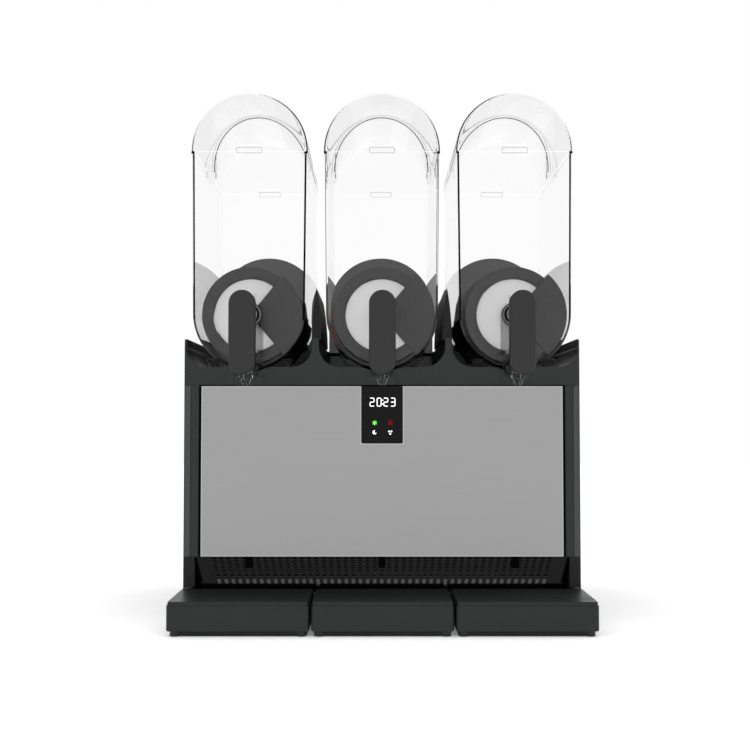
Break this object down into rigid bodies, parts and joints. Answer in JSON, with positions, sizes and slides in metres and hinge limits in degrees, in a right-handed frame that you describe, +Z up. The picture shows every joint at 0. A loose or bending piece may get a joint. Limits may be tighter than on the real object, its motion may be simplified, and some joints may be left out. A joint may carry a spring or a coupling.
{
  "type": "slush machine",
  "caption": "Slush machine with clear lidded bowls, chilled drums, augers, push handles and drip trays.",
  "frame": {"origin": "on the table, under the middle of the whole machine", "axes": "+X to the right of someone facing the taps, +Y to the back, +Z up"},
  "size_m": [0.5976, 0.515, 0.794],
  "materials": {
    "clear_plastic": "gloss",
    "dark_plastic": "satin",
    "black_plastic": "matte",
    "auger_plastic": "satin",
    "dark_paint": "satin",
    "panel_steel": "satin",
    "drum_steel": "satin",
    "nut_plastic": "gloss",
    "display_black": "gloss",
    "dark_red_rubber": "matte",
    "black_rubber": "matte",
    "spring_steel": "gloss",
    "fin_aluminium": "satin",
    "board_green": "matte"
  },
  "bodies": {
    "machine": {"base_pan": "dark_paint", "machine_feet": "black_rubber", "left_side_panel": "dark_paint", "right_side_panel": "dark_paint", "rear_panel": "dark_paint", "power_inlet": "black_plastic", "front_cover": "dark_plastic", "front_panel": "panel_steel", "display_glass": "display_black", "control_board": "board_green", "intake_grille": "black_plastic", "grille_tabs": "black_plastic", "top_cover": "dark_plastic", "bowl_dividers": "black_plastic", "motor_housings": "dark_plastic", "gearmotors": "dark_paint", "evaporator_drums": "drum_steel", "bowl_gaskets": "dark_red_rubber", "compressor": "dark_paint", "condenser": "fin_aluminium", "fan_shroud": "dark_paint", "fan_motor": "dark_paint"},
    "fan": {"fan_blades": "black_plastic"},
    "left_bowl_body": {"left_bowl": "clear_plastic", "left_tap_spring": "spring_steel"},
    "left_lid_body": {"left_lid": "clear_plastic"},
    "left_handle_body": {"left_tap_handle": "dark_plastic", "left_handle_pin": "spring_steel"},
    "left_piston_body": {"left_tap_piston": "clear_plastic"},
    "left_auger_body": {"left_auger": "auger_plastic", "left_drive_shaft": "nut_plastic"},
    "left_tray_body": {"left_drip_tray": "dark_plastic"},
    "left_cover_body": {"left_tray_cover": "dark_plastic"},
    "middle_bowl_body": {"middle_bowl": "clear_plastic", "middle_tap_spring": "spring_steel"},
    "middle_lid_body": {"middle_lid": "clear_plastic"},
    "middle_handle_body": {"middle_tap_handle": "dark_plastic", "middle_handle_pin": "spring_steel"},
    "middle_piston_body": {"middle_tap_piston": "clear_plastic"},
    "middle_auger_body": {"middle_auger": "auger_plastic", "middle_drive_shaft": "nut_plastic"},
    "middle_tray_body": {"middle_drip_tray": "dark_plastic"},
    "middle_cover_body": {"middle_tray_cover": "dark_plastic"},
    "right_bowl_body": {"right_bowl": "clear_plastic", "right_tap_spring": "spring_steel"},
    "right_lid_body": {"right_lid": "clear_plastic"},
    "right_handle_body": {"right_tap_handle": "dark_plastic", "right_handle_pin": "spring_steel"},
    "right_piston_body": {"right_tap_piston": "clear_plastic"},
    "right_auger_body": {"right_auger": "auger_plastic", "right_drive_shaft": "nut_plastic"},
    "right_tray_body": {"right_drip_tray": "dark_plastic"},
    "right_cover_body": {"right_tray_cover": "dark_plastic"}
  },
  "joints": [
    {"name": "fan_spin", "type": "hinge", "parent": "machine", "child": "fan", "pos_m": [0.09, 0.044, 0.1425], "axis": [0, 1, 0], "continuous": true},
    {"name": "left_bowl_slide", "type": "slide", "parent": "machine", "child": "left_bowl_body", "axis": [0, -1, 0], "range_m": [0, 0.34]},
    {"name": "left_lid_lift", "type": "slide", "parent": "left_bowl_body", "child": "left_lid_body", "axis": [0, 0, 1], "range_m": [0, 0.12]},
    {"name": "left_handle_turn", "type": "hinge", "parent": "left_bowl_body", "child": "left_handle_body", "pos_m": [-0.2, -0.202, 0.421], "axis": [-1, 0, 0], "range_deg": [0, 30], "stiffness_Nm_per_rad": 0.6, "springref_deg": -22.92},
    {"name": "left_piston_slide", "type": "slide", "parent": "left_bowl_body", "child": "left_piston_body", "axis": [0, -1, 0], "range_m": [0, 0.02041], "deforming": ["left_tap_spring"]},
    {"name": "left_auger_spin", "type": "hinge", "parent": "machine", "child": "left_auger_body", "pos_m": [-0.2, -0.131, 0.458], "axis": [0, 1, 0], "continuous": true},
    {"name": "left_tray_slide", "type": "slide", "parent": "machine", "child": "left_tray_body", "axis": [0, -1, 0], "range_m": [0, 0.15]},
    {"name": "left_cover_lift", "type": "slide", "parent": "left_tray_body", "child": "left_cover_body", "axis": [0, 0, 1], "range_m": [0, 0.045]},
    {"name": "middle_bowl_slide", "type": "slide", "parent": "machine", "child": "middle_bowl_body", "axis": [0, -1, 0], "range_m": [0, 0.34]},
    {"name": "middle_lid_lift", "type": "slide", "parent": "middle_bowl_body", "child": "middle_lid_body", "axis": [0, 0, 1], "range_m": [0, 0.12]},
    {"name": "middle_handle_turn", "type": "hinge", "parent": "middle_bowl_body", "child": "middle_handle_body", "pos_m": [0, -0.202, 0.421], "axis": [-1, 0, 0], "range_deg": [0, 30], "stiffness_Nm_per_rad": 0.6, "springref_deg": -22.92},
    {"name": "middle_piston_slide", "type": "slide", "parent": "middle_bowl_body", "child": "middle_piston_body", "axis": [0, -1, 0], "range_m": [0, 0.02041], "deforming": ["middle_tap_spring"]},
    {"name": "middle_auger_spin", "type": "hinge", "parent": "machine", "child": "middle_auger_body", "pos_m": [0, -0.131, 0.458], "axis": [0, 1, 0], "continuous": true},
    {"name": "middle_tray_slide", "type": "slide", "parent": "machine", "child": "middle_tray_body", "axis": [0, -1, 0], "range_m": [0, 0.15]},
    {"name": "middle_cover_lift", "type": "slide", "parent": "middle_tray_body", "child": "middle_cover_body", "axis": [0, 0, 1], "range_m": [0, 0.045]},
    {"name": "right_bowl_slide", "type": "slide", "parent": "machine", "child": "right_bowl_body", "axis": [0, -1, 0], "range_m": [0, 0.34]},
    {"name": "right_lid_lift", "type": "slide", "parent": "right_bowl_body", "child": "right_lid_body", "axis": [0, 0, 1], "range_m": [0, 0.12]},
    {"name": "right_handle_turn", "type": "hinge", "parent": "right_bowl_body", "child": "right_handle_body", "pos_m": [0.2, -0.202, 0.421], "axis": [-1, 0, 0], "range_deg": [0, 30], "stiffness_Nm_per_rad": 0.6, "springref_deg": -22.92},
    {"name": "right_piston_slide", "type": "slide", "parent": "right_bowl_body", "child": "right_piston_body", "axis": [0, -1, 0], "range_m": [0, 0.02041], "deforming": ["right_tap_spring"]},
    {"name": "right_auger_spin", "type": "hinge", "parent": "machine", "child": "right_auger_body", "pos_m": [0.2, -0.131, 0.458], "axis": [0, 1, 0], "continuous": true},
    {"name": "right_tray_slide", "type": "slide", "parent": "machine", "child": "right_tray_body", "axis": [0, -1, 0], "range_m": [0, 0.15]},
    {"name": "right_cover_lift", "type": "slide", "parent": "right_tray_body", "child": "right_cover_body", "axis": [0, 0, 1], "range_m": [0, 0.045]}
  ],
  "couplings": [
    {"joint": "left_piston_slide", "follows": "left_handle_turn", "m_per_rad": 0.038593},
    {"joint": "middle_piston_slide", "follows": "middle_handle_turn", "m_per_rad": 0.038593},
    {"joint": "right_piston_slide", "follows": "right_handle_turn", "m_per_rad": 0.038593}
  ]
}
